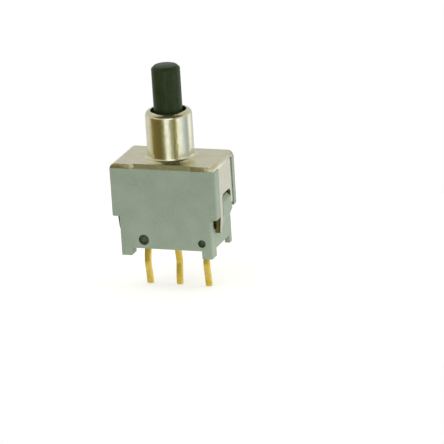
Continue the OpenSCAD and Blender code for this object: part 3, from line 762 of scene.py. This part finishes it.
# Copies of a pin in a row along X; every second one is turned round, so that it bends the other way.
def rowTree():
    tree, start, end = newGeometryTree("pinRow", {
        "Count": "Int", "Pitch": "Float", "Row": "Float", "Finish": "Material"})
    given = start.outputs
    index = addNode(tree, "GeometryNodeInputIndex").outputs["Index"]
    gaps = addNode(tree, "ShaderNodeMath", {0: given["Count"], 1: 1.0}, operation="SUBTRACT").outputs[0]
    first = addNode(tree, "ShaderNodeMath", {0: gaps, 1: -0.5}, operation="MULTIPLY").outputs[0]
    startX = addNode(tree, "ShaderNodeMath", {0: first, 1: given["Pitch"]}, operation="MULTIPLY").outputs[0]
    begin = addNode(tree, "ShaderNodeCombineXYZ", {"X": startX, "Y": given["Row"]}).outputs[0]
    step = addNode(tree, "ShaderNodeCombineXYZ", {"X": given["Pitch"]}).outputs[0]
    line = addNode(tree, "GeometryNodeMeshLine", {
        "Count": given["Count"], "Start Location": begin, "Offset": step}, mode="OFFSET")
    odd = addNode(tree, "ShaderNodeMath", {0: index, 1: 2.0}, operation="MODULO").outputs[0]
    turn = addNode(tree, "ShaderNodeMath", {0: odd, 1: math.pi}, operation="MULTIPLY").outputs[0]
    facing = addNode(tree, "ShaderNodeCombineXYZ", {"Z": turn}).outputs[0]
    copies = addNode(tree, "GeometryNodeInstanceOnPoints", {
        "Points": line.outputs["Mesh"], "Instance": given["Geometry"], "Rotation": facing})
    real = addNode(tree, "GeometryNodeRealizeInstances", {"Geometry": copies.outputs["Instances"]})
    painted = addNode(tree, "GeometryNodeSetMaterial", {
        "Geometry": real.outputs["Geometry"], "Material": given["Finish"]})
    setInputs(tree, end, {"Geometry": painted.outputs["Geometry"]})
    return tree


def buildTerminals(s):
    pins = buildPin(s)
    runTree(pins, rowTree(), {
        "Count": s["count"], "Pitch": s["pitch"], "Row": s["row"], "Finish": materials["terminal"]})
    finishPiece(pins, "terminalPins", "terminal", "body",
                ["terminal_1", "terminal_common", "terminal_3"])
    # Behind the chamber each strip turns up into the blade that its arm wipes
    runLow, overlap = s["runLow"], 0.001
    thick, half, row = s["thick"], s["width"] / 2, s["row"]
    front, back, top = s["blade"]
    up, down = s["change"]
    blades = None
    for i in (-1, 0, 1):
        left, right = i * s["pitch"] - half, i * s["pitch"] + half
        parts = [block((left, row - thick / 2, runLow), (right, back, runLow + thick))]
        if i == -1:
            parts += [block((left, back - overlap, runLow), (right, back + thick, up + thick)),
                      block((left, front, up), (right, back + thick, up + thick)),
                      block((left, front, up), (right, back, top))]
        else:
            parts.append(block((left, front, runLow), (right, back, down if i == 1 else top)))
        strip, *others = parts
        combine(strip, others, "UNION")
        if blades is None:
            blades = strip
        else:
            combine(blades, [strip], "UNION")
    finishPiece(blades, "contactBlades", "terminal", "body")


buildTerminals(terminalSizes)
print("terminals stamped")


# Return spring: a wire swept along a coil

springSizes = {
    "radius": 0.6, "wire": 0.09, "turns": 8.0, "low": 2.0, "high": 5.98, "steps": 32, "wireSides": 12,
    "closing": 0.035,      # how much closer together the end turns lie, as a share of the height
    "travel": 1.4,         # how far the plunger presses it
}


# A helix whose end turns lie closer together, swept with a round wire.
def coilTree():
    tree, start, end = newGeometryTree("coiledWire", {
        "Radius": "Float", "Wire": "Float", "Turns": "Float", "Low": "Float", "High": "Float",
        "Closing": "Float", "Steps": "Int", "Wire Sides": "Int", "Finish": "Material"})
    given = start.outputs
    height = addNode(tree, "ShaderNodeMath", {
        0: given["High"], 1: given["Low"]}, operation="SUBTRACT").outputs[0]
    coil = addNode(tree, "GeometryNodeCurveSpiral", {
        "Resolution": given["Steps"], "Rotations": given["Turns"], "Start Radius": given["Radius"],
        "End Radius": given["Radius"], "Height": height})
    along = addNode(tree, "GeometryNodeSplineParameter").outputs["Factor"]
    wave = addNode(tree, "ShaderNodeMath", {0: along, 1: 2 * math.pi}, operation="MULTIPLY").outputs[0]
    wave = addNode(tree, "ShaderNodeMath", {0: wave}, operation="SINE").outputs[0]
    for factor in (given["Closing"], height):
        wave = addNode(tree, "ShaderNodeMath", {0: wave, 1: factor}, operation="MULTIPLY").outputs[0]
    rise = addNode(tree, "ShaderNodeMath", {0: given["Low"], 1: wave}, operation="SUBTRACT").outputs[0]
    lift = addNode(tree, "ShaderNodeCombineXYZ", {"Z": rise}).outputs[0]
    seated = addNode(tree, "GeometryNodeSetPosition", {"Geometry": coil.outputs["Curve"], "Offset": lift})
    wire = addNode(tree, "GeometryNodeCurvePrimitiveCircle", {
        "Resolution": given["Wire Sides"], "Radius": given["Wire"]})
    swept = addNode(tree, "GeometryNodeCurveToMesh", {
        "Curve": seated.outputs["Geometry"], "Profile Curve": wire.outputs["Curve"], "Fill Caps": True})
    real = addNode(tree, "GeometryNodeRealizeInstances", {"Geometry": swept.outputs["Mesh"]})
    painted = addNode(tree, "GeometryNodeSetMaterial", {
        "Geometry": real.outputs["Geometry"], "Material": given["Finish"]})
    setInputs(tree, end, {"Geometry": painted.outputs["Geometry"]})
    return tree


def buildSpring(s):
    coil = newPiece("coil", bmesh.new())
    runTree(coil, coilTree(), {
        "Radius": s["radius"], "Wire": s["wire"], "Turns": s["turns"], "Low": s["low"], "High": s["high"],
        "Closing": s["closing"], "Steps": s["steps"], "Wire Sides": s["wireSides"],
        "Finish": materials["spring"]})
    finishPiece(coil, "returnCoil", "spring", "body", ["return_spring"], smoothAngle=60)
    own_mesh(coil)


buildSpring(springSizes)
print("spring coiled")


# Inner pieces keep their CAD shape and take their finish

innerFinishes = {
    "case_gasket": "rubber",
    "o_ring": "rubber",
    "terminal_seal": "resin",
    "slider": "slider",
    "moving_contact": "contact",
}
for node, finish in innerFinishes.items():
    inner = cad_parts[node]
    inner.data.materials.clear()
    inner.data.materials.append(materials[finish])
print("inner pieces finished")


# Floor and lamps

studioSizes = {
    "floorHalf": 30.0, "floorLow": -3.2, "floorSegments": 96, "floorColour": "#ededeb", "floorGlow": 0.42,
    "cardEnds": (10.0, 13.0),    # metal mirrors part of the floor up to the first, and none past the second
    "cardGone": 0.4,             # the share of the floor near the object that metal doesn't mirror
    "lampAim": 5.0,
    "key": {"turn": 100, "lift": 18, "distance": 260, "size": 160, "power": 0.21, "colour": "#fffaf0"},
    "fill": {"turn": -40, "lift": 50, "distance": 300, "size": 260, "power": 0.10, "colour": "#f4f8ff"},
}


def buildFloor(s):
    disk = [(0, s["floorLow"]), (s["floorHalf"], s["floorLow"])]
    floor = newPiece("floor", lathe(disk, s["floorSegments"]))
    floor.data.transform(Matrix.Scale(mm, 4))
    # Matt white card that glows a little, so that it stays pale round the shadow
    material = bpy.data.materials.new("matteCard")
    material.use_nodes = True
    tree = material.node_tree
    tree.nodes.clear()
    paper = addNode(tree, "ShaderNodeBsdfDiffuse", {"Color": s["floorColour"]})
    glow = addNode(tree, "ShaderNodeEmission", {"Color": "#ffffff", "Strength": s["floorGlow"]})
    card = addNode(tree, "ShaderNodeAddShader", {0: paper.outputs[0], 1: glow.outputs[0]})
    # Metal mirrors part of the card close round the object, and past that only the room
    place = addNode(tree, "ShaderNodeTexCoord").outputs["Object"]
    away = addNode(tree, "ShaderNodeVectorMath", {0: place}, operation="LENGTH").outputs["Value"]
    near, far = s["cardEnds"]
    past = addNode(tree, "ShaderNodeMapRange", {
        0: away, 1: near * mm, 2: far * mm, 3: s["cardGone"]}).outputs[0]
    glossy = addNode(tree, "ShaderNodeLightPath").outputs["Is Glossy Ray"]
    gone = addNode(tree, "ShaderNodeMath", {0: past, 1: glossy}, operation="MULTIPLY").outputs[0]
    clear = addNode(tree, "ShaderNodeBsdfTransparent")
    mixed = addNode(tree, "ShaderNodeMixShader", {0: gone, 1: card.outputs[0], 2: clear.outputs[0]})
    addNode(tree, "ShaderNodeOutputMaterial", {"Surface": mixed.outputs[0]})
    floor.data.materials.append(material)


# A round soft lamp that lights the object but isn't mirrored in it.
def addLamp(name, s, aimHeight):
    data = bpy.data.lights.new(name, "AREA")
    data.shape, data.size, data.energy = "DISK", s["size"] * mm, s["power"]
    data.color = hexToLinear(s["colour"])[:3]
    lamp = bpy.data.objects.new(name, data)
    scene.collection.objects.link(lamp)
    out = wayTo(s["turn"], s["lift"])
    place = Matrix.Translation((Vector((0, 0, aimHeight)) + out * s["distance"]) * mm)
    lamp.matrix_world = place @ out.to_track_quat("Z", "Y").to_matrix().to_4x4()
    lamp.visible_glossy = False


# World: plain light for the object, white behind it, and a room for polished metal to mirror

# The mirrored room is in bands of height. Each stop is its turn in degrees round from the camera's side,
# towards the right, and its colour. One band gives way to the next between two heights, where 0 is level and
# 1 overhead.
roomSizes = {
    "front": cameraSizes["turn"],
    "low": [
        (-160, "#bcc0c3"), (-122, "#c4c4bd"), (-106, "#bab8a7"), (-96, "#8e8465"), (-84, "#655b35"),
        (-66, "#60562b"), (-48, "#585027"), (-38, "#5e5c37"), (-28, "#898869"), (-19, "#e2e8e4"),
        (-9, "#eef3f6"), (-2, "#cdd1d3"), (4, "#aaada5"), (12, "#8a8764"), (24, "#676440"),
        (31, "#7e7c53"), (40, "#e6e7d4"), (52, "#eaeef0"), (66, "#cad3e4"), (80, "#a2afbb"),
        (98, "#93a19d"), (108, "#d8ddda"), (120, "#eef0f6"), (140, "#bcbec2"),
    ],
    "lowToMiddle": (0.0, 0.22),
    "middle": [
        (-170, "#b0b1ac"), (-70, "#b8b69c"), (-45, "#aeab8e"), (-28, "#b6b292"), (-12, "#ffffff"),
        (10, "#ffffff"), (24, "#77714c"), (50, "#b6b7b1"), (175, "#b0b1ac"),
    ],
    "middleToHigh": (0.42, 0.62),
    "high": [
        (-170, "#c0c1bc"), (-110, "#a9a994"), (-70, "#404027"), (70, "#404027"), (110, "#a9a994"),
        (175, "#c0c1bc"),
    ],
    "highToOverhead": (0.90, 0.96),
    "overhead": "#3a3b24",
    "mirrored": 1.4, "plain": 0.70, "plainColour": "#fdfcf8",
}


# The colours of one band; turn is 0 to 1 all round, from the back.
def bandColours(tree, turn, stops, front):
    ramp = addNode(tree, "ShaderNodeValToRGB", {"Fac": turn})
    elements = ramp.color_ramp.elements
    placed = sorted((((angle + front + 180) % 360) / 360, code) for angle, code in stops)
    while len(elements) < len(placed):
        elements.new(0.5)
    for element, (position, code) in zip(elements, placed):
        element.position, element.color = position, hexToLinear(code)
    return ramp.outputs["Color"]


def buildWorld(s):
    world = bpy.data.worlds.new("studio")
    world.use_nodes = True
    tree = world.node_tree
    tree.nodes.clear()
    way = addNode(tree, "ShaderNodeTexCoord").outputs["Generated"]
    x, y, height = addNode(tree, "ShaderNodeSeparateXYZ", {0: way}).outputs
    flipped = addNode(tree, "ShaderNodeMath", {0: y, 1: -1.0}, operation="MULTIPLY").outputs[0]
    turn = addNode(tree, "ShaderNodeMath", {0: x, 1: flipped}, operation="ARCTAN2").outputs[0]
    turn = addNode(tree, "ShaderNodeMapRange", {0: turn, 1: -math.pi, 2: math.pi}).outputs[0]
    low, middle, high = [bandColours(tree, turn, s[key], s["front"]) for key in ("low", "middle", "high")]
    room = low
    for ends, above in (("lowToMiddle", middle), ("middleToHigh", high), ("highToOverhead", s["overhead"])):
        start, end = s[ends]
        share = addNode(tree, "ShaderNodeMapRange", {0: height, 1: start, 2: end}).outputs[0]
        room = addNode(tree, "ShaderNodeMix", {0: share, 6: room, 7: above}, data_type="RGBA").outputs[2]
    path = addNode(tree, "ShaderNodeLightPath").outputs
    plain = addNode(tree, "ShaderNodeBackground", {"Color": s["plainColour"], "Strength": s["plain"]})
    glossy = addNode(tree, "ShaderNodeBackground", {"Color": room, "Strength": s["mirrored"]})
    white = addNode(tree, "ShaderNodeBackground", {"Color": "#ffffff", "Strength": 1.0})
    lit = addNode(tree, "ShaderNodeMixShader", {
        0: path["Is Glossy Ray"], 1: plain.outputs[0], 2: glossy.outputs[0]})
    seen = addNode(tree, "ShaderNodeMixShader", {
        0: path["Is Camera Ray"], 1: lit.outputs[0], 2: white.outputs[0]})
    addNode(tree, "ShaderNodeOutputWorld", {"Surface": seen.outputs[0]})
    scene.world = world


buildFloor(studioSizes)
for lampName in ("key", "fill"):
    addLamp(lampName + "Lamp", studioSizes[lampName], studioSizes["lampAim"])
buildWorld(roomSizes)
print("studio lit")
